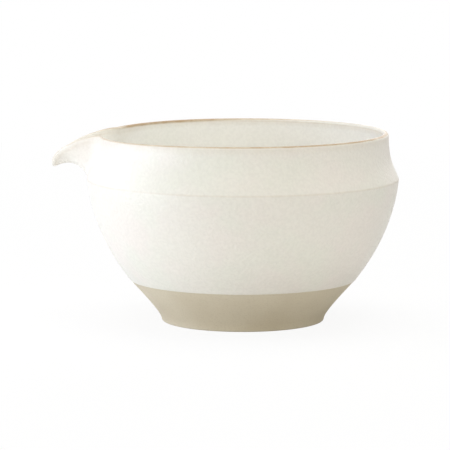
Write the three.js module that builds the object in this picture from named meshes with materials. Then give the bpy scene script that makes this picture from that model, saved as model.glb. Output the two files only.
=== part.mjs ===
// A stoneware bowl with a pouring spout, glazed white inside and out above a bare clay foot.
// Lengths are in millimetres and angles in degrees. The spout points to -X and +Z is up.
import * as THREE from 'three'
import { mergeVertices } from 'three/addons/utils/BufferGeometryUtils.js'

// Turned outside of the bowl, on the finished surface
const bowlHeight = 78.4
const mouthRadius = 60.5
const shoulderRadius = 64.8
const shoulderHeight = 59.5
const glazeLineRadius = 47
const glazeLineHeight = 17.5

// How the outside bends between those places: the length and slope of each stretch's start and end
const neckUpright = 9.8
const neckFlare = 5.7
const neckFlareSlope = 67
const bellyUpright = 13.5
const bellyDraft = 1.1
const bellyTuck = 16.5
const glazeLineSlope = 50.4
const bandStart = 2.7
const bandEnd = 5.5
const bandEndSlope = 54.3

// Foot ring
const footHeight = 4.5
const footTopRadius = 35.8
const footRadius = 33.9
const footWidth = 7
const footFlare = 2.8
const footEdge = 0.8

// Clay walls, and the inside's bend from the shoulder down to the floor
const lipWall = 1.9
const shoulderWall = 3.1
const tipWall = 1.2
const floorThickness = 4.5
const insideUpright = 26.6
const insideDraft = 0.9
const floorFlat = 38

// Glaze, its thin lower edge, and the rounding of the lip above the walls
const glazeCoat = 0.35
const glazeFeather = 0.12
const lipRise = 1.1

// Spout: its opening in the neck, its lip and its keel
const spoutMouthAngle = 20
const spoutRootAngle = 10
const creaseBend = 1.5
const spoutOverhang = 16.1
const spoutDrop = 14.5
const spoutRunOut = 12.8
const spoutHalfWidth = 15
const noseHalfWidth = 6
const noseRise = 2.7
const keelStartOut = 3.2
const keelStartUp = 2
const keelCrownOut = 6
const keelCrownUp = 7.75
const rimDip = 0.65
const rimDipFocus = 4

// Facets: columns round the bowl, and rows along each stretch of the wall
const spoutColumns = 14
const bowlColumns = 40
const bandRows = 3
const bellyRows = 7
const neckRows = 6
const lipSteps = 3
const insideRows = 9
const footFlankSteps = 4
const footEdgeSteps = 3

const radians = THREE.MathUtils.degToRad
const { lerp } = THREE.MathUtils
const at = (r, z) => new THREE.Vector2(r, z)
const slope = (degrees, length) => at(Math.cos(radians(degrees)) * length, Math.sin(radians(degrees)) * length)

// The outside in three stretches, each a curve of radius and height going up:
// the bare band from the foot to the glaze line, the belly to the shoulder, the neck to the lip
const edgeHeight = bowlHeight - lipRise
const bandFoot = at(footTopRadius, footHeight)
const glazeLine = at(glazeLineRadius, glazeLineHeight)
const shoulder = at(shoulderRadius, shoulderHeight)
const band = new THREE.CubicBezierCurve(
  bandFoot, bandFoot.clone().add(slope(bandEndSlope, bandEnd)),
  glazeLine.clone().sub(slope(glazeLineSlope, bandStart)), glazeLine)
const belly = new THREE.CubicBezierCurve(
  glazeLine, glazeLine.clone().add(slope(glazeLineSlope, bellyTuck)),
  at(shoulderRadius - bellyDraft, shoulderHeight - bellyUpright), shoulder)
const neck = new THREE.CubicBezierCurve(
  shoulder, shoulder.clone().add(slope(180 - neckFlareSlope, neckFlare)),
  at(mouthRadius, edgeHeight - neckUpright), at(mouthRadius, edgeHeight))
const stretches = [band, belly, neck]
const neckTop = stretches.length

// Round the bowl a place is told by its turn: -1 to 1 across the spout, and 1 to 3 round the rest.
// The creases beside the spout lean apart from the shoulder up to the lip.
const creaseAngle = t => radians(lerp(spoutRootAngle, spoutMouthAngle, t ** creaseBend))
const bearing = (turn, t) => Math.abs(turn) <= 1
  ? turn * creaseAngle(t)
  : lerp(creaseAngle(t), 2 * Math.PI - creaseAngle(t), (turn - 1) / 2)
const wrap = turn => (turn + 5) % 4 - 1
const place = (angle, r, z) => new THREE.Vector3(-r * Math.cos(angle), -r * Math.sin(angle), z)

// The spout's outer face: a patch stretched between the lip, the shoulder, the creases and the keel,
// where u runs from 0 on the keel to 1 on a crease, and t from 0 on the shoulder to 1 at the lip
const tip = new THREE.Vector3(-shoulderRadius - spoutOverhang + lipRise, 0, bowlHeight - spoutDrop)
const lipEdge = new THREE.CubicBezierCurve3(
  place(creaseAngle(1), mouthRadius, edgeHeight),
  new THREE.Vector3(-mouthRadius - spoutRunOut, -spoutHalfWidth, edgeHeight),
  new THREE.Vector3(tip.x, -noseHalfWidth, tip.z + noseRise), tip)
const keel = new THREE.CubicBezierCurve3(
  place(0, shoulderRadius, shoulderHeight),
  place(0, shoulderRadius + keelStartOut, shoulderHeight + keelStartUp),
  place(0, shoulderRadius + keelCrownOut, shoulderHeight + keelCrownUp), tip)
const crease = t => place(creaseAngle(t), neck.getPoint(t).x, neck.getPoint(t).y)
const between = (a, b, k) => a.clone().lerp(b, k)
function spoutFace(u, t) {
  const side = u * u
  const upward = between(place(u * creaseAngle(0), shoulderRadius, shoulderHeight), lipEdge.getPoint(1 - u), t)
  const sideways = between(keel.getPoint(t), crease(t), side)
  const corners = between(between(keel.getPoint(0), crease(0), side), between(tip, crease(1), side), t)
  return upward.add(sideways).sub(corners)
}

// The finished outside: rise runs through the stretches, from 0 at the foot joint to 3 at the lip.
// Towards the spout the rim sinks a little, as the pull of the spout leaves it.
function outside(turn, rise) {
  const stretch = Math.min(Math.floor(rise), neckTop - 1)
  const t = rise - stretch
  const onNeck = stretch === neckTop - 1
  const angle = bearing(turn, onNeck ? t : 0)
  const ring = stretches[stretch].getPoint(t)
  if (!onNeck) return place(angle, ring.x, ring.y)
  const point = Math.abs(turn) < 1 ? spoutFace(Math.abs(turn), t) : place(angle, ring.x, ring.y)
  if (Math.abs(turn) < 1) point.y *= Math.sign(turn) || 1
  point.z -= rimDip * t * Math.cos(angle / 2) ** rimDipFocus
  return point
}

// A place on the outside with its outward normal and its way up, from small steps to either side
const nudge = 1e-3
function face(turn, rise) {
  const above = outside(turn, Math.min(rise + nudge, neckTop))
  const below = outside(turn, Math.max(rise - nudge, 0))
  const round = outside(wrap(turn + nudge), rise).sub(outside(wrap(turn - nudge), rise))
  const up = above.sub(below).normalize()
  return { point: outside(turn, rise), up, normal: round.cross(up).normalize() }
}
const inward = (spot, depth, lift = 0) =>
  spot.point.clone().addScaledVector(spot.normal, -depth).addScaledVector(spot.up, lift)

// Clay thickness of the neck and spout, thinner at the lip and thinnest at the spout's tip
function wallAt(turn, t) {
  const wall = lerp(shoulderWall, lipWall, t)
  return Math.abs(turn) < 1 ? lerp(wall, tipWall, t * (1 - turn * turn)) : wall
}

// One row of the section gives, for each turn, a place on the clay and one on the coat over it
const outerRow = rise => turn => {
  const spot = face(turn, rise)
  const coat = rise > 1 ? glazeCoat : rise === 1 ? glazeFeather : 0
  return [inward(spot, coat), inward(spot, 0)]
}
const innerRow = t => turn => {
  const spot = face(turn, neckTop - 1 + t)
  const depth = glazeCoat + wallAt(turn, t)
  return [inward(spot, depth), inward(spot, depth + glazeCoat)]
}
const lipRow = degrees => turn => {
  const spot = face(turn, neckTop)
  const half = wallAt(turn, 1) / 2
  const across = Math.sin(radians(degrees))
  const over = Math.cos(radians(degrees))
  const middle = glazeCoat + half
  return [
    inward(spot, middle - half * across, (lipRise - glazeCoat) * over),
    inward(spot, middle - (half + glazeCoat) * across, lipRise * over)]
}
const turnedRow = (ring, normal) => turn => [0, glazeCoat].map(coat =>
  place(bearing(turn, 0), ring.x + normal.x * coat, ring.y + normal.y * coat))

// The inside below the shoulder, one curve down to the middle of the floor
const floorHeight = footHeight + floorThickness
const insideShoulder = inward(face(2, neckTop - 1), glazeCoat + shoulderWall)
const inside = new THREE.CubicBezierCurve(
  at(insideShoulder.x, insideShoulder.z),
  at(insideShoulder.x - insideDraft, insideShoulder.z - insideUpright),
  at(floorFlat, floorHeight), at(0, floorHeight))
const insideRow = t => {
  const along = inside.getTangent(t)
  return turnedRow(inside.getPoint(t), at(along.y, -along.x))
}

// All rows of the section, from the middle of the underside, over the lip, to the middle of the floor
const footInnerRadius = footTopRadius - footWidth
const steps = (count, make) => Array.from({ length: count }, (_, k) => make(k))
const underside = r => turnedRow(at(r, footHeight), at(0, 0))
const rows = [
  underside(0), underside(footInnerRadius),
  ...steps(bandRows, k => outerRow(k / bandRows)),
  ...steps(bellyRows, k => outerRow(1 + k / bellyRows)),
  ...steps(neckRows, k => outerRow(2 + k / neckRows)),
  ...steps(2 * lipSteps + 1, k => lipRow(90 - k * 90 / lipSteps)),
  ...steps(neckRows, k => innerRow((neckRows - 1 - k) / neckRows)),
  ...steps(insideRows, k => insideRow((k + 1) / insideRows))]
const glazeStart = 2 + bandRows
const lipStart = glazeStart + bellyRows + neckRows
const crest = lipStart + lipSteps
const lipEnd = crest + lipSteps
const cutDepth = lipSteps + neckRows

const columns = [
  ...steps(spoutColumns, i => -1 + 2 * i / spoutColumns),
  ...steps(bowlColumns, i => 1 + 2 * i / bowlColumns)]
const grid = rows.map(row => columns.map(row))
const next = i => (i + 1) % columns.length
const clay = (p, i) => grid[p][i][0]
const coat = (p, i) => grid[p][i][1]

// A closed surface gathered from four-cornered faces. Two pieces that meet split a shared face
// along the same diagonal, so they touch all over and never overlap.
class Surface {
  corners = []

  quad(a, b, c, d, flipped = false) {
    for (const [p, q, r] of flipped ? [[a, c, b], [a, d, c]] : [[a, b, c], [a, c, d]]) {
      const distinct = p.distanceTo(q) * q.distanceTo(r) * r.distanceTo(p) > 1e-9
      if (distinct) this.corners.push(...p, ...q, ...r)
    }
  }

  mesh(name, color, roughness) {
    const geometry = new THREE.BufferGeometry()
    geometry.setAttribute('position', new THREE.Float32BufferAttribute(this.corners, 3))
    const joined = mergeVertices(geometry)
    joined.computeVertexNormals()
    const mesh = new THREE.Mesh(joined, new THREE.MeshStandardMaterial({ color, roughness, metalness: 0 }))
    mesh.name = name
    return mesh
  }
}

// A clay piece: every cell of the wall that belongs to it, with a cut face wherever it ends
function clayPiece(belongs) {
  const surface = new Surface()
  const cell = (p, q, i, flipped) => surface.quad(
    clay(p, i), clay(p, next(i)), clay(q, next(i)), clay(q, i), flipped)
  const cut = (k, i, flipped) => surface.quad(
    clay(crest - k, i), clay(crest - k - 1, i), clay(crest + k + 1, i), clay(crest + k, i), flipped)
  const has = (p, i) => p >= 0 && p < rows.length - 1 && belongs(p, (i + columns.length) % columns.length)
  for (let i = 0; i < columns.length; i++) {
    for (let p = 0; p < rows.length - 1; p++) {
      if (has(p, i)) cell(p, p + 1, i, false)
    }
    for (let k = 0; k < cutDepth; k++) {
      if (has(crest + k, i) && !has(crest + k, i - 1)) cut(k, i, true)
      if (has(crest + k, i) && !has(crest + k, i + 1)) cut(k, next(i), false)
    }
    if (has(crest, i) !== has(crest + cutDepth, i)) {
      cell(crest - cutDepth, crest + cutDepth, i, has(crest, i))
    }
  }
  return surface
}
const inSpout = (p, i) => i < spoutColumns && Math.abs(p + 0.5 - crest) < cutDepth

// A coat over the clay between two rows of the section
function coatPiece(from, to) {
  const surface = new Surface()
  for (let i = 0; i < columns.length; i++) {
    const j = next(i)
    for (let p = from; p < to; p++) {
      surface.quad(coat(p, i), coat(p, j), coat(p + 1, j), coat(p + 1, i))
      surface.quad(clay(p, i), clay(p, j), clay(p + 1, j), clay(p + 1, i), true)
    }
    surface.quad(clay(from, i), clay(from, j), coat(from, j), coat(from, i))
    surface.quad(clay(to, i), clay(to, j), coat(to, j), coat(to, i), true)
  }
  return surface
}

// The foot ring, a closed section carried round the bowl, flat below and flat where it joins
function footRing() {
  const edge = new THREE.QuadraticBezierCurve(
    at(footRadius - footEdge, 0), at(footRadius, 0), at(footRadius, footEdge))
  const flank = new THREE.QuadraticBezierCurve(
    at(footRadius, footEdge), bandFoot.clone().sub(slope(bandEndSlope, footFlare)), bandFoot)
  const section = [
    at(footInnerRadius, footHeight), at(footInnerRadius, footEdge), at(footInnerRadius + footEdge, 0),
    ...edge.getPoints(footEdgeSteps), ...flank.getPoints(footFlankSteps).slice(1)]
  const surface = new Surface()
  const ring = (k, i) => turnedRow(section[k % section.length], at(0, 0))(columns[i])[0]
  for (let i = 0; i < columns.length; i++) {
    section.forEach((_, k) => surface.quad(ring(k, i), ring(k, next(i)), ring(k + 1, next(i)), ring(k + 1, i)))
  }
  return surface
}

const stoneware = 0xb9ab98
const whiteGlaze = 0xefece2
const ironBrown = 0xc6b08b
const bowl = new THREE.Group()
bowl.name = 'spouted_bowl'
bowl.position.x = spoutOverhang / 2
bowl.add(
  clayPiece((p, i) => !inSpout(p, i)).mesh('bowl_wall', stoneware, 0.9),
  clayPiece(inSpout).mesh('spout', stoneware, 0.9),
  footRing().mesh('foot_ring', stoneware, 0.9),
  coatPiece(glazeStart, lipStart).mesh('outer_glaze', whiteGlaze, 0.45),
  coatPiece(lipStart, lipEnd).mesh('lip_line', ironBrown, 0.5),
  coatPiece(lipEnd, rows.length - 1).mesh('inner_glaze', whiteGlaze, 0.45))

export default bowl
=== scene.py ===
import math

import bmesh
import bpy
import numpy as np
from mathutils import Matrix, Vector


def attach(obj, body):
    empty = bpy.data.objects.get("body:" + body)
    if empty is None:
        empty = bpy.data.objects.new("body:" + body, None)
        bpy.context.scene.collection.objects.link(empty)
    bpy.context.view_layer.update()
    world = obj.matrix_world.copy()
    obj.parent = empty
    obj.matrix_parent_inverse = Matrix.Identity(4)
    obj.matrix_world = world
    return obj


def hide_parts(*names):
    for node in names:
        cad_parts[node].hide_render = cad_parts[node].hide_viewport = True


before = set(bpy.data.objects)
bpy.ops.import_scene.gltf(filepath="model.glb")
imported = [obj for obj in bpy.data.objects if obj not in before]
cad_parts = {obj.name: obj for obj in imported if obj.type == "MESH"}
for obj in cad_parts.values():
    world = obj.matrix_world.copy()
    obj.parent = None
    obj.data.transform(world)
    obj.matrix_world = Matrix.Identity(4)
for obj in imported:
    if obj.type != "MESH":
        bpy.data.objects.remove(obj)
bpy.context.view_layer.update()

# The bowl's wall: thrown in one piece in a pale, iron-bearing stoneware, with a ridged shoulder and a short neck.
# One side of the neck is cut open for the spout. It is spun from its section, and then each ring of the neck
# is drawn out towards the spout, the way a thumb pulls soft clay.
axis_x = 0.00805
foot_joint = np.array((0.0358, 0.0045))
glaze_line = np.array((0.047, 0.0175))
shoulder = np.array((0.0648, 0.0595))
mouth_radius = 0.0605
bowl_height = 0.0786
lip_rise = 0.0013
edge_height = bowl_height - lip_rise
neck_height = edge_height - shoulder[1]
flare_at_foot, flare_at_glaze, neck_lean = 54.3, 50.4, 113

lip_wall = 0.0019
shoulder_wall = 0.0031
tip_wall = 0.0012
glaze_coat = 0.00035
inside_top = np.array((0.06136, 0.05929))
floor_flat = 0.038
floor_height = 0.009
foot_inner_radius = 0.0288

columns = 288
spout_columns = 46


def bend(a, b, c, d, t):
    """Places along a curve that leaves a towards b and comes to d from c."""
    t = np.asarray(t, float)[..., None]
    return a * (1 - t) ** 3 + 3 * b * t * (1 - t) ** 2 + 3 * c * t * t * (1 - t) + d * t ** 3


def slope(degrees, length):
    """A step of a given length in the section, at an angle up from level."""
    return length * np.array((math.cos(math.radians(degrees)), math.sin(math.radians(degrees))))


def band_outline(t):
    return bend(foot_joint, foot_joint + slope(flare_at_foot, 0.0055),
                glaze_line - slope(flare_at_glaze, 0.0027), glaze_line, t)


def belly_outline(t):
    return bend(glaze_line, glaze_line + slope(flare_at_glaze, 0.0165), shoulder - (0.0011, 0.0135), shoulder, t)


def neck_outline(t):
    mouth = np.array((mouth_radius, edge_height))
    return bend(shoulder, shoulder + slope(neck_lean, 0.0057), mouth - (0, 0.0098), mouth, t)


def round_axis(angle, outline):
    """A place on the turned bowl. Angle 0 is at the spout, which points to -X."""
    r, z = outline[..., 0], outline[..., 1]
    return np.stack(np.broadcast_arrays(-r * np.cos(angle), -r * np.sin(angle), z), axis=-1)


def mix(a, b, k):
    """Goes from a to b as k goes from 0 to 1."""
    return a + (b - a) * np.asarray(k, float)[..., None]


# Where the spout leaves the neck at the shoulder and at the mouth, either side of its middle, and its tip
spout_root_angle = math.radians(10)
spout_mouth_angle = math.radians(14.2)
spout_tip = np.array((-0.0792, 0, 0.0631))


def crease_angle(t):
    """The creases where spout and neck meet lean apart from the shoulder up to the lip."""
    return spout_root_angle + (spout_mouth_angle - spout_root_angle) * np.clip(t, 0, 1) ** 1.5


def spout_lip(u):
    """The spout's edge, from its tip (u 0) back to where it leaves the mouth (u 1)."""
    start = round_axis(spout_mouth_angle, np.array((mouth_radius, edge_height)))
    return bend(start, np.array((-0.0756, -0.014, 0.0726)), spout_tip + (0, -0.0055, 0.0042), spout_tip, 1 - u)


def spout_keel(t):
    """The line down the middle of the spout, from the shoulder (t 0) out to its tip (t 1)."""
    foot = round_axis(0, shoulder)
    return bend(foot, foot + (-0.0032, 0, 0.002), foot + (-0.006, 0, 0.00775), spout_tip, t)


def spout_face(u, t):
    """The spout between keel (u 0) and crease (u 1), from the shoulder (t 0) to its lip (t 1)."""
    side = u * u
    upward = mix(round_axis(u * spout_root_angle, shoulder), spout_lip(u), t)
    sideways = mix(spout_keel(t), round_axis(crease_angle(t), neck_outline(t)), side)
    low = mix(round_axis(0, shoulder), round_axis(spout_root_angle, shoulder), side)
    high = mix(spout_tip, round_axis(spout_mouth_angle, np.array((mouth_radius, edge_height))), side)
    return upward + sideways - mix(low, high, t)


# How softly the keel, the creases and the shoulder turn, and how far the rim sinks towards the spout
keel_round = 0.07
crease_round = math.radians(3)
shoulder_round = 0.03
rim_dip = 0.001
rim_dip_focus = 12
rim_dip_bearing = math.radians(20)

# One step of s up the neck is this share of the belly's outline below it
belly_pace = 0.42
glaze_line_s = -1 / belly_pace


def round_turn(first, second, past, reach):
    """Follows first until past is 0, then second, with a round turn that starts and ends reach away."""
    off = np.where(np.abs(past) < 1e-3, 1e-3, past)
    ramp = np.where(np.abs(past) < reach, (past + reach) ** 2 / (4 * reach), np.maximum(past, 0))
    return first(past) + (second(off) - first(off)) * (ramp / off)[..., None]


def neck_skin(angle, s):
    """The neck with the spout drawn out of it, s being 0 on the shoulder and 1 at the lip."""
    crease = crease_angle(s)
    keel = keel_round * np.clip(s * 12, 0, 1)

    def turned(past):
        return round_axis(crease - past, neck_outline(s))

    def pulled(past):
        u = 1 - past / crease
        sharp, rounded = spout_face(u, s), spout_face(np.sqrt(u * u + keel ** 2 * (1 - u * u)), s)
        return np.stack((rounded[..., 0], sharp[..., 1], rounded[..., 2]), axis=-1)
    drawn = round_turn(turned, pulled, crease - np.abs(angle), crease_round)
    drawn[..., 1] *= np.where(angle < 0, -1, 1)
    drawn[..., 2] -= rim_dip * s * np.cos((angle - rim_dip_bearing) / 2) ** rim_dip_focus
    return drawn


def skin(angle, s):
    """The finished outside: s is 0 on the shoulder, 1 at the lip and negative on the belly."""
    angle, s = np.broadcast_arrays(np.asarray(angle, float), np.asarray(s, float))
    angle = (angle + math.pi) % (2 * math.pi) - math.pi

    def belly(s):
        return round_axis(angle, belly_outline(1 + belly_pace * s))
    return round_turn(belly, lambda s: neck_skin(angle, s), s, shoulder_round)


# Each column's turn is -1 to 1 across the spout, the columns crowd at the creases, and their bearings follow
# the creases up the neck
column = np.arange(columns)
steps_round = np.where(column <= columns // 2, column, column - columns)
across_spout = np.clip(np.abs(steps_round) / spout_columns, 0, 1)
past_spout = np.clip((np.abs(steps_round) - spout_columns) / (columns // 2 - spout_columns), 0, 1)
turn = np.sign(steps_round) * (1 - (1 - across_spout) ** 1.4 + past_spout ** 1.5)


def bearing(s):
    crease = crease_angle(s)
    past = crease + (np.abs(turn) - 1) * (math.pi - crease)
    return np.where(np.abs(turn) <= 1, turn * crease, np.sign(turn) * past)


faces_known = {}


def face(s):
    """A ring of the outside: its places, its outward normals and its ways up."""
    s = round(float(s), 6)
    if s not in faces_known:
        angle, step = bearing(s), 1e-3
        way_round = skin(angle + step, s) - skin(angle - step, s)
        way_up = skin(angle, min(s + step, 1)) - skin(angle, s - step)
        way_up /= np.linalg.norm(way_up, axis=1)[:, None]
        normal = np.cross(way_round, way_up)
        normal /= np.linalg.norm(normal, axis=1)[:, None]
        way_up = np.cross(normal, way_round)
        way_up /= np.linalg.norm(way_up, axis=1)[:, None]
        faces_known[s] = skin(angle, s), normal, way_up
    return faces_known[s]


def wall_at(s):
    wall = shoulder_wall + (lip_wall - shoulder_wall) * s
    return wall + (tip_wall - wall) * s * np.clip(1 - turn ** 2, 0, 1)


def outer_ring(s, depth):
    place, normal, _ = face(s)
    return place - normal * depth


def inside_outline(t, coat):
    """The turned inside from the shoulder down to the middle of the floor, with a coat of glaze on it."""
    t = np.asarray(t, float)
    ends = inside_top, inside_top - (0.0009, 0.0266), np.array((floor_flat, floor_height)), np.array((0, floor_height))
    along = bend(*ends, np.minimum(t + 1e-4, 1)) - bend(*ends, np.maximum(t - 1e-4, 0))
    along /= np.linalg.norm(along)
    return bend(*ends, t) + coat * np.array((along[1], -along[0]))


root_start = 0.16


def inner_ring(s, coat):
    """A ring of the inside of the neck. Below root_start it eases into the turned inside."""
    def offset(s):
        place, normal, _ = face(s)
        return place - normal * (glaze_coat + coat + wall_at(s))[:, None]
    if s >= root_start:
        return offset(s)
    k, above = s / root_start, offset(root_start)
    above_way = (offset(root_start + 0.02) - above) / 0.02 * root_start
    below = round_axis(bearing(0), inside_outline(0, coat))
    below_way = np.linalg.norm(above - below, axis=1)[:, None] * (0, 0, 1)
    return ((1 + 2 * k) * (1 - k) ** 2 * below + k * (1 - k) ** 2 * below_way
            + k * k * (3 - 2 * k) * above + k * k * (k - 1) * above_way)


def lip_ring(degrees, coat):
    """A ring of the rounded lip, at 90 on its outer side, 0 on its crest and -90 on its inner side."""
    place, normal, up = face(1)
    half = wall_at(1) / 2
    across, over = math.sin(math.radians(degrees)), math.cos(math.radians(degrees))
    depth = glaze_coat + half - (half + coat) * across
    return place - normal * depth[:, None] + up * (lip_rise - glaze_coat + coat) * over


def turned_ring(outline):
    """A plain ring at a radius and a height."""
    return round_axis(bearing(0), np.asarray(outline, float))


def spin_section(rings):
    """Spins the section that the rings have at the back of the bowl, then moves each ring to its own places."""
    bm = bmesh.new()
    ring_of = bm.verts.layers.int.new("ring")
    chain = []
    for k, ring in enumerate(rings):
        x, _, z = ring[columns // 2]
        vert = bm.verts.new((-abs(x), 0, z))
        vert[ring_of] = k
        chain.append(vert)
    edges = [bm.edges.new(pair) for pair in zip(chain, chain[1:])]
    about = {"cent": (0, 0, 0), "axis": (0, 0, 1)}
    bmesh.ops.spin(bm, geom=chain + edges, angle=math.radians(45), steps=columns // 8, **about)
    bmesh.ops.spin(bm, geom=bm.verts[:] + bm.edges[:] + bm.faces[:], angle=math.radians(315), steps=7,
                   use_duplicate=True, **about)
    bmesh.ops.remove_doubles(bm, verts=bm.verts, dist=1e-7)
    column_of = bm.verts.layers.int.new("column")
    ring_of = bm.verts.layers.int["ring"]
    for vert in bm.verts:
        turned_by = math.atan2(-vert.co.y, -vert.co.x)
        vert[column_of] = round(turned_by / (2 * math.pi) * columns) % columns
    for vert in bm.verts:
        vert.co = Vector(rings[vert[ring_of]][vert[column_of]]) + Vector((axis_x, 0, 0))
    bmesh.ops.remove_doubles(bm, verts=bm.verts, dist=1e-7)
    return bm


crisp_edge = math.radians(42)


def finish_piece(bm, name, slot, *nodes):
    """Turns a finished bmesh into a piece that rides on the body and stands for its CAD nodes."""
    bmesh.ops.recalc_face_normals(bm, faces=bm.faces)
    mesh = bpy.data.meshes.new(name)
    bm.to_mesh(mesh)
    bm.free()
    mesh.shade_smooth()
    mesh.set_sharp_from_angle(angle=crisp_edge)
    piece = bpy.data.objects.new(name, mesh)
    bpy.context.scene.collection.objects.link(piece)
    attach(piece, "root")
    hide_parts(*nodes)
    return piece


# The rings crowd where the shoulder turns. The lip's steps are in degrees round its edge
band_count, belly_count, neck_count, lip_count, inside_count = 14, 30, 24, 19, 44
above_root = 1 - root_start
band_steps = [k / band_count for k in range(band_count)]
belly_steps = [glaze_line_s * (1 - k / belly_count) for k in range(belly_count)]
belly_steps = [s for s in belly_steps if s < -0.09] + [-0.07, -0.05, -0.035, -0.022, -0.011]
neck_steps = [0, 0.011, 0.022, 0.035, 0.05, 0.07, 0.1, 0.13]
neck_steps += [root_start + above_root * k / neck_count for k in range(neck_count)]
lip_steps = [90 - 180 * k / lip_count for k in range(lip_count + 1)]
inner_neck_steps = [1 - above_root * (k + 1) / neck_count for k in range(neck_count)]
inner_neck_steps += [0.13, 0.1, 0.07, 0.04, 0.015]
inside_steps = [k / inside_count for k in range(inside_count + 1)]

# The clay steps in under the edge of the outer coat: how high up, and how deep
clay_seat = [(glaze_line_s, 0.0), (-2.375, 0.00012), (-2.365, 0.00022), (-2.34, 0.0003), (-2.31, glaze_coat)]
clay_rings = [turned_ring((0, foot_joint[1])), turned_ring((foot_inner_radius, foot_joint[1]))]
clay_rings += [turned_ring(band_outline(t)) for t in band_steps]
clay_rings += [outer_ring(s, depth) for s, depth in clay_seat]
clay_rings += [outer_ring(s, glaze_coat) for s in belly_steps + neck_steps if s > -2.29]
neck_first = len(clay_rings) - len(neck_steps)
clay_rings += [lip_ring(degrees, 0) for degrees in lip_steps]
crest = neck_first + len(neck_steps) + len(lip_steps) // 2
clay_rings += [inner_ring(s, 0) for s in inner_neck_steps]
neck_last = len(clay_rings)
clay_rings += [turned_ring(inside_outline(t, 0)) for t in inside_steps]


def clay_part(of_spout):
    """The clay of the spout, or of the bowl without it, with cut faces across the wall where they meet."""
    bm = spin_section(clay_rings)
    ring_of, column_of = bm.verts.layers.int["ring"], bm.verts.layers.int["column"]

    def in_spout(found):
        rings = [vert[ring_of] for vert in found.verts]
        turns = [abs(turn[vert[column_of]]) for vert in found.verts]
        return neck_first <= min(rings) and max(rings) <= neck_last and max(turns) <= 1.0001
    away = [found for found in bm.faces if in_spout(found) != of_spout]
    bmesh.ops.delete(bm, geom=away, context="FACES")
    rim = [edge for edge in bm.edges if edge.is_boundary]
    outer = [edge for edge in rim if max(vert[ring_of] for vert in edge.verts) < crest]
    inner = [edge for edge in rim if min(vert[ring_of] for vert in edge.verts) >= crest]
    bmesh.ops.bridge_loops(bm, edges=outer + inner)
    return bm


bare_clay = bpy.data.materials.new("bare_stoneware")
bowl_wall = finish_piece(clay_part(False), "thrown_wall", "stoneware", "bowl_wall")

# The spout: a pulled channel of the same clay, luted onto the cut neck while soft, and thinned to its lip
# so that it pours cleanly. It takes the part of the drawn-out neck between the two creases.
spout_clay = finish_piece(clay_part(True), "luted_spout", "stoneware", "spout")

# The foot: a ring of the same clay luted under the flat floor and trimmed on the wheel, left bare.
# Its outer side runs on from the band above it, and its edges are wiped round with a sponge.
foot_radius = 0.0339
foot_edge = 0.0008
flank_from = np.array((foot_radius, foot_edge))
flank_by = foot_joint - slope(flare_at_foot, 0.0028)


def wiped_edge(radius, turns):
    """The rounded edge under the foot, at each turn in degrees, about a middle at that radius."""
    return [(radius + foot_edge * math.cos(turn), foot_edge + foot_edge * math.sin(turn))
            for turn in map(math.radians, turns)]


foot_section = [(foot_inner_radius, foot_joint[1])]
foot_section += [(foot_inner_radius, 2 * foot_edge), (foot_inner_radius, foot_edge + 0.0002)]
foot_section += wiped_edge(foot_inner_radius + foot_edge, range(195, 271, 15))
foot_section += [(foot_radius - foot_edge - 0.0002, 0)]
foot_section += wiped_edge(foot_radius - foot_edge, range(270, 361, 15))
for t in (k / 10 for k in range(1, 11)):
    foot_section.append(tuple(flank_from * (1 - t) ** 2 + flank_by * 2 * t * (1 - t) + foot_joint * t * t))
foot_rings = [turned_ring(place) for place in foot_section] + [turned_ring(foot_section[0])]
foot_ring = finish_piece(spin_section(foot_rings), "foot_ring_turned", "stoneware", "foot_ring")

# The bare clay's finish: fired without glaze, matt and close-grained, warm grey-beige with fine sandy specks
# and the faint rings that the trimming tool leaves.
def new_surface(material):
    """Gives a material an empty node tree with one surface shader, and returns the tree and the shader."""
    material.use_nodes = True
    tree = material.node_tree
    tree.nodes.clear()
    shader = tree.nodes.new("ShaderNodeBsdfPrincipled")
    out = tree.nodes.new("ShaderNodeOutputMaterial")
    tree.links.new(shader.outputs["BSDF"], out.inputs["Surface"])
    return tree, shader


def mottle(tree, size, detail, stretch=(1, 1, 1)):
    """Cloudy noise in the piece's own space, with features about size metres across."""
    where = tree.nodes.new("ShaderNodeTexCoord")
    turned = tree.nodes.new("ShaderNodeMapping")
    turned.inputs["Location"].default_value = (-axis_x, 0, 0)
    turned.inputs["Scale"].default_value = stretch
    noise = tree.nodes.new("ShaderNodeTexNoise")
    noise.inputs["Scale"].default_value = 1 / size
    noise.inputs["Detail"].default_value = detail
    tree.links.new(where.outputs["Object"], turned.inputs["Vector"])
    tree.links.new(turned.outputs["Vector"], noise.inputs["Vector"])
    return noise.outputs["Fac"]


def ranged(tree, value, low, high, to_low, to_high):
    """Maps a value from one range to another, and holds it there."""
    node = tree.nodes.new("ShaderNodeMapRange")
    node.inputs["From Min"].default_value = low
    node.inputs["From Max"].default_value = high
    node.inputs["To Min"].default_value = to_low
    node.inputs["To Max"].default_value = to_high
    tree.links.new(value, node.inputs["Value"])
    return node.outputs["Result"]


def blended(tree, amount, first, second, way="MIX"):
    """Blends two colours by an amount. A colour may be three numbers or another node's output."""
    node = tree.nodes.new("ShaderNodeMix")
    node.data_type = "RGBA"
    node.blend_type = way
    for name, colour in (("A", first), ("B", second)):
        socket = next(s for s in node.inputs if s.name == name and s.type == "RGBA")
        if isinstance(colour, tuple):
            socket.default_value = (*colour, 1)
        else:
            tree.links.new(colour, socket)
    tree.links.new(amount, next(s for s in node.inputs if s.name == "Factor" and s.type == "VALUE"))
    return next(s for s in node.outputs if s.type == "RGBA")


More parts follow.
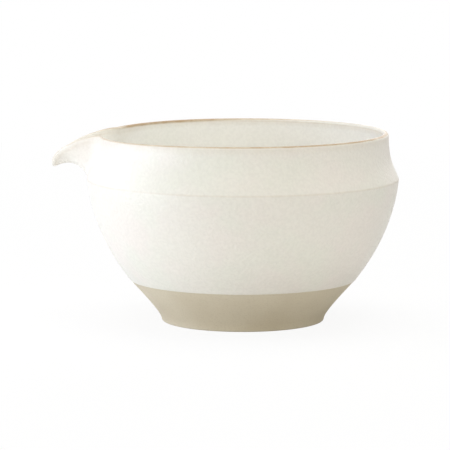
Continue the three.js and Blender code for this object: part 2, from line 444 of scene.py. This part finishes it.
def bumped(tree, height, depth, under=None):
    """A bump of the given depth in metres, over another bump if there is one."""
    node = tree.nodes.new("ShaderNodeBump")
    node.inputs["Strength"].default_value = 1
    node.inputs["Distance"].default_value = depth
    tree.links.new(height, node.inputs["Height"])
    if under is not None:
        tree.links.new(under, node.inputs["Normal"])
    return node.outputs["Normal"]


clay_beige, clay_pale = (0.665, 0.59, 0.445), (0.70, 0.63, 0.485)
speck_brown, ring_brown = (0.47, 0.38, 0.265), (0.515, 0.44, 0.32)
tree, shader = new_surface(bare_clay)
cloud = mottle(tree, 0.02, 3)
grain = mottle(tree, 0.0007, 2)
rings = mottle(tree, 0.004, 1, (0.05, 0.05, 1))
tone = blended(tree, ranged(tree, cloud, 0.35, 0.65, 0, 1), clay_beige, clay_pale)
tone = blended(tree, ranged(tree, grain, 0.5, 0.72, 0, 0.22), tone, speck_brown)
tone = blended(tree, ranged(tree, rings, 0.4, 0.6, 0, 0.06), tone, ring_brown)
tree.links.new(tone, shader.inputs["Base Color"])
shader.inputs["Roughness"].default_value = 0.62
shader.inputs["Specular IOR Level"].default_value = 0.5
under = bumped(tree, rings, 0.00012)
tree.links.new(bumped(tree, grain, 0.00006, under), shader.inputs["Normal"])
for piece in (bowl_wall, spout_clay, foot_ring):
    piece.data.materials.append(bare_clay)

# The outer glaze: a satin ivory-white coat, dipped to a straight line above the foot. It stands a little proud
# of the clay at that line, thins on the ridge of the shoulder and has a fine orange-peel surface.
edge_bead = [(glaze_line_s, -0.00003), (-2.3795, -0.0001), (-2.376, -0.00014), (-2.365, -0.00017),
             (-2.34, -0.00016), (-2.3, -0.0001), (-2.24, -0.00004), (-2.16, -0.00001)]


def spin_coat(rings, thin):
    """Spins a coat of glaze and keeps how thin it is at each place of each ring. On the lip line that value also
    carries the line's painted light.
    """
    bm = spin_section(rings)
    ring_of, column_of = bm.verts.layers.int["ring"], bm.verts.layers.int["column"]
    glaze_thin_and_lip_light = bm.verts.layers.float.new("glaze_thin_and_lip_light")
    for vert in bm.verts:
        vert[glaze_thin_and_lip_light] = thin[vert[ring_of]][vert[column_of]]
    return bm


def closed_coat(over, under, thin):
    """A coat between two sets of rings that run the same way, closed at both its edges."""
    return spin_coat(over + under[::-1] + over[:1], thin + thin[::-1] + thin[:1])


def thin_on_shoulder(s):
    """The glaze draws back a little from the ridge of the shoulder, all the way round."""
    return np.full(columns, 0.17 * math.exp(-((s + 0.004) / 0.026) ** 2))


def thin_near_lip(down):
    """The glaze thins towards the lip: down is how far below the edge of the clay a ring is, in metres."""
    return np.full(columns, 0.1 * math.exp(-(down / 0.0012) ** 2))


outer_steps = [s for s in belly_steps + neck_steps if s > -2.1]
outer_rings = [outer_ring(s, depth) for s, depth in edge_bead]
outer_rings += [outer_ring(s, 0) for s in outer_steps] + [lip_ring(90, glaze_coat)]
under_rings = [outer_ring(s, depth) for s, depth in clay_seat]
under_rings += [outer_ring(s, glaze_coat) for s in [-2.28, -2.24, -2.16] + outer_steps] + [lip_ring(90, 0)]
outer_thin = [thin_on_shoulder(s) for s, _ in edge_bead]
outer_thin += [thin_on_shoulder(s) + thin_near_lip((1 - s) * neck_height) for s in outer_steps]
outer_thin += [thin_near_lip(0)]
outer_glaze = finish_piece(closed_coat(outer_rings, under_rings, outer_thin), "outer_glaze_coat",
                           "white_glaze", "outer_glaze")

# The inner glaze: the same coat, poured over the whole inside and the channel of the spout.
# It runs thin on the upper walls of the spout, so the clay's iron tints it there.
inner_coat_rings = [lip_ring(-90, glaze_coat)] + [inner_ring(s, glaze_coat) for s in inner_neck_steps]
inner_coat_rings += [turned_ring(inside_outline(t, glaze_coat)) for t in inside_steps]
inner_clay_rings = [lip_ring(-90, 0)] + [inner_ring(s, 0) for s in inner_neck_steps]
inner_clay_rings += [turned_ring(inside_outline(t, 0)) for t in inside_steps]
in_channel = np.clip((1.12 - np.abs(turn)) / 0.2, 0, 1)
edge_thin = 0.14
inner_thin = [np.full(columns, edge_thin)]
for s in inner_neck_steps:
    near_edge = math.exp(-((1 - s) * neck_height / 0.0009) ** 2)
    inner_thin.append(edge_thin * near_edge + 0.22 * in_channel * max(0, s - 0.45) / 0.55)
inner_thin += [np.zeros(columns) for _ in inside_steps]
inner_glaze = finish_piece(spin_coat(inner_clay_rings[::-1] + inner_coat_rings, inner_thin[::-1] + inner_thin),
                           "inner_glaze_coat", "white_glaze", "inner_glaze")

# The lip line: over the crest of the lip the glaze runs down to a film and the iron-brown body shows through,
# as a fine line all round bowl and spout. Its two sides fade into the white coats. How strong it is round the
# rim is partly its own unevenness and partly painted light.
lip_outer = [lip_ring(degrees, glaze_coat) for degrees in lip_steps]
lip_inner = [lip_ring(degrees, 0) for degrees in lip_steps]


def round_the_rim(*marks):
    """A value for each column, from pairs of a bearing in degrees (negative on the far side) and a value."""
    bearings, values = zip(*marks)
    return np.interp(np.degrees(bearing(1)), bearings, values, period=360)


# The line's strength at each bearing, partly its own uneven brown and partly painted light: paler where the light from
# the left falls on the rim (the far right, the front left and the spout's lip), stronger where the rim is in shade
# (the far left and the front right).
line_tone_and_light = round_the_rim((-150, 0.4), (-110, 0.5), (-75, 0.85), (-45, 1), (-25, 0.95), (-13, 0.5), (-6, 0.32),
                          (10, 0.28), (18, 0.45), (50, 0.62), (85, 0.82), (110, 0.95), (160, 1), (180, 0.8))
line_outer_edge = round_the_rim((-90, 35), (-13, 30), (-6, 20), (12, 20), (25, 42), (60, 50), (120, 54), (180, 50))
line_inner_edge = round_the_rim((-160, 8), (-130, 20), (-100, 45), (-60, 76), (-20, 74), (-10, 50), (20, 60),
                                (140, 45), (180, 6))


def line_brown_and_light(degrees):
    """How brown a ring of the lip is: the iron showing through, at a strength round the rim that is partly the line's
    own unevenness and partly painted light, and the line's two edges wander round the rim.
    """
    outward = 1 / (1 + np.exp((degrees - line_outer_edge) / 4))
    inward = 1 / (1 + np.exp(-(degrees + line_inner_edge) / 6))
    return line_tone_and_light * outward * inward


def beside_line(degrees):
    """How thin the white is on either side of the line, where it meets the other coats."""
    return 0.1 if degrees > 0 else edge_thin * (degrees < -70)


lip_thin_and_light = [np.maximum(line_brown_and_light(degrees), beside_line(degrees)) for degrees in lip_steps]
lip_line = finish_piece(closed_coat(lip_outer, lip_inner, lip_thin_and_light), "lip_line_coat", "iron_brown", "lip_line")

# The glaze's finish on all three coats. It is ivory white, and whiter inside: partly where it pooled and partly
# painted light that brightens the shaded inside of the bowl. It is faintly clouded towards pink and green. Where it
# thins it warms through beige to the brown of the clay, and its surface is finely dimpled, less so inside; the dimples
# are also darkened a little in the colour, as painted shade.
ivory = (0.87, 0.84, 0.765), (0.875, 0.825, 0.76), (0.845, 0.84, 0.75)
# Inside white: partly pooled glaze, partly painted light that lifts the shade inside the bowl.
pooled_and_painted_bright = (0.955, 0.945, 0.90), (0.955, 0.94, 0.90), (0.945, 0.945, 0.89)
thin_beige, bare_brown, dimple_shade = (0.74, 0.66, 0.54), (0.47, 0.33, 0.19), (0.962, 0.962, 0.962)
for name, (plain, pinkish, greenish), dimple_depth, piece in (
        ("satin_white_glaze", ivory, 0.00024, outer_glaze), ("inside_glaze_painted_bright", pooled_and_painted_bright, 0.0001, inner_glaze),
        ("lip_glaze", ivory, 0.00024, lip_line)):
    glaze = bpy.data.materials.new(name)
    tree, shader = new_surface(glaze)
    # The coat's thinness, which on the lip line also carries the line's painted light, warms the white towards beige
    # and brown.
    thinness_and_lip_light = tree.nodes.new("ShaderNodeAttribute")
    thinness_and_lip_light.attribute_name = "glaze_thin_and_lip_light"
    patchy = mottle(tree, 0.006, 3)
    uneven = tree.nodes.new("ShaderNodeMath")
    uneven.operation = "MULTIPLY"
    tree.links.new(thinness_and_lip_light.outputs["Fac"], uneven.inputs[0])
    tree.links.new(ranged(tree, patchy, 0.3, 0.7, 0.75, 1.2), uneven.inputs[1])
    warm = mottle(tree, 0.03, 2)
    cool = mottle(tree, 0.022, 2, (1.1, 0.9, 1.3))
    white = blended(tree, ranged(tree, warm, 0.42, 0.66, 0, 1), plain, pinkish)
    white = blended(tree, ranged(tree, cool, 0.45, 0.7, 0, 0.8), white, greenish)
    beige = blended(tree, ranged(tree, uneven.outputs[0], 0.02, 0.4, 0, 1), white, thin_beige)
    brown = blended(tree, ranged(tree, uneven.outputs[0], 0.4, 0.95, 0, 1), beige, bare_brown)
    # The orange peel's relief is also darkened into the colour by up to 4 %: painted shade of the dimples.
    peel = mottle(tree, 0.0012, 1)
    peel_painted_shade = blended(tree, ranged(tree, peel, 0.36, 0.64, 1, 0), brown, dimple_shade, "MULTIPLY")
    tree.links.new(peel_painted_shade, shader.inputs["Base Color"])
    fine = mottle(tree, 0.0007, 1)
    tree.links.new(ranged(tree, warm, 0.3, 0.7, 0.34, 0.44), shader.inputs["Roughness"])
    shader.inputs["Specular IOR Level"].default_value = 0.5
    tree.links.new(bumped(tree, fine, 0.00002, bumped(tree, peel, dimple_depth)), shader.inputs["Normal"])
    piece.data.materials.append(glaze)

# The table: a plain white surface under the foot. The camera sees it white, and near the bowl a tenth of what
# it sees is the lit surface, so that it keeps the bowl's soft shadow. The glaze reflects it as it is lit.
bm = bmesh.new()
table_reach = 4
bmesh.ops.create_grid(bm, x_segments=1, y_segments=1, size=table_reach)
table_mesh = bpy.data.meshes.new("table")
bm.to_mesh(table_mesh)
bm.free()
table = bpy.data.objects.new("table", table_mesh)
bpy.context.scene.collection.objects.link(table)
table_white = bpy.data.materials.new("white_table")
tree, shader = new_surface(table_white)
shader.inputs["Base Color"].default_value = (0.85, 0.85, 0.85, 1)
shader.inputs["Roughness"].default_value = 0.9
shader.inputs["Specular IOR Level"].default_value = 0.1
seen = tree.nodes.new("ShaderNodeLightPath")
glow = tree.nodes.new("ShaderNodeEmission")
glow.inputs["Color"].default_value = (1, 1, 1, 1)
glow.inputs["Strength"].default_value = 1
with_shadow = tree.nodes.new("ShaderNodeMixShader")
where = tree.nodes.new("ShaderNodeTexCoord")
from_bowl = tree.nodes.new("ShaderNodeVectorMath")
from_bowl.operation = "LENGTH"
tree.links.new(where.outputs["Object"], from_bowl.inputs[0])
tree.links.new(ranged(tree, from_bowl.outputs["Value"], 0.2, 0.7, 0.9, 1), with_shadow.inputs[0])
pick = tree.nodes.new("ShaderNodeMixShader")
out = next(node for node in tree.nodes if node.type == "OUTPUT_MATERIAL")
bright = tree.nodes.new("ShaderNodeBsdfDiffuse")
bright.inputs["Color"].default_value = (0.97, 0.97, 0.97, 1)
tree.links.new(bright.outputs[0], with_shadow.inputs[1])
tree.links.new(glow.outputs[0], with_shadow.inputs[2])
tree.links.new(seen.outputs["Is Camera Ray"], pick.inputs[0])
tree.links.new(shader.outputs[0], pick.inputs[1])
tree.links.new(with_shadow.outputs[0], pick.inputs[2])
tree.links.new(pick.outputs[0], out.inputs["Surface"])
table_mesh.materials.append(table_white)

# The room: white wherever the camera or a reflection looks past the table, and a soft even fill on the bowl.
room = bpy.data.worlds.new("room")
bpy.context.scene.world = room
room.use_nodes = True
tree = room.node_tree
tree.nodes.clear()
seen = tree.nodes.new("ShaderNodeLightPath")
sees_white = seen.outputs["Is Camera Ray"]
for ray in ("Is Glossy Ray", "Is Transmission Ray"):
    either = tree.nodes.new("ShaderNodeMath")
    either.operation = "MAXIMUM"
    tree.links.new(sees_white, either.inputs[0])
    tree.links.new(seen.outputs[ray], either.inputs[1])
    sees_white = either.outputs[0]
fill = tree.nodes.new("ShaderNodeBackground")
fill.inputs["Color"].default_value = (1, 1, 1, 1)
fill.inputs["Strength"].default_value = 0.27
white_wall = tree.nodes.new("ShaderNodeBackground")
white_wall.inputs["Color"].default_value = (1, 1, 1, 1)
white_wall.inputs["Strength"].default_value = 1
pick = tree.nodes.new("ShaderNodeMixShader")
out = tree.nodes.new("ShaderNodeOutputWorld")
tree.links.new(sees_white, pick.inputs[0])
tree.links.new(fill.outputs[0], pick.inputs[1])
tree.links.new(white_wall.outputs[0], pick.inputs[2])
tree.links.new(pick.outputs[0], out.inputs["Surface"])

# The lights: a soft window on the left and a low glow from the table on that side, a soft box overhead that
# fills the inside of the bowl, a broad one in front, and weaker ones on the right and behind.
middle_of_view = Vector((0.0007, -0.0011, 0.03966))


def soft_light(name, place, width, height, watts, colour):
    """A flat rectangular lamp that faces the middle of the bowl."""
    lamp = bpy.data.lights.new(name, "AREA")
    lamp.shape = "RECTANGLE"
    lamp.size, lamp.size_y = width, height
    lamp.energy = watts
    lamp.color = colour
    lamp_object = bpy.data.objects.new(name, lamp)
    bpy.context.scene.collection.objects.link(lamp_object)
    lamp_object.location = place
    lamp_object.rotation_euler = (middle_of_view - lamp_object.location).to_track_quat("-Z", "Y").to_euler()


soft_light("window", (-1.15, 0.1, 0.5), 0.8, 0.5, 3.9, (0.8, 0.83, 1))
soft_light("table_glow", (-0.39, -0.17, 0.03), 0.32, 0.05, 0.7, (0.8, 0.88, 1))
soft_light("overhead", (0, 0.1, 1.5), 1.4, 1.4, 15.2, (1, 0.98, 0.93))
soft_light("front", (0.3, -1.8, 0.7), 1.2, 1, 8.1, (1, 0.97, 0.88))
soft_light("right", (1.25, -0.45, 0.4), 0.9, 0.6, 1.8, (1, 0.98, 0.92))
soft_light("back", (0.3, 1.8, 0.7), 1.2, 1, 5, (1, 1, 1))

# The camera: a long lens a little above the rim, turned slightly so that the spout points left and away.
turned_by, looking_down, away = math.radians(8.5), math.radians(7.46), 1.31
camera_data = bpy.data.cameras.new("camera")
camera_data.sensor_width = 36
camera_data.lens = 251.5
camera_data.clip_start, camera_data.clip_end = 0.05, 60
camera = bpy.data.objects.new("camera", camera_data)
bpy.context.scene.collection.objects.link(camera)
back = Vector((math.sin(turned_by) * math.cos(looking_down), -math.cos(turned_by) * math.cos(looking_down),
               math.sin(looking_down)))
camera.location = middle_of_view + back * away
camera.rotation_euler = (-back).to_track_quat("-Z", "Y").to_euler()
bpy.context.scene.camera = camera
bpy.context.scene.view_settings.view_transform = "Standard"
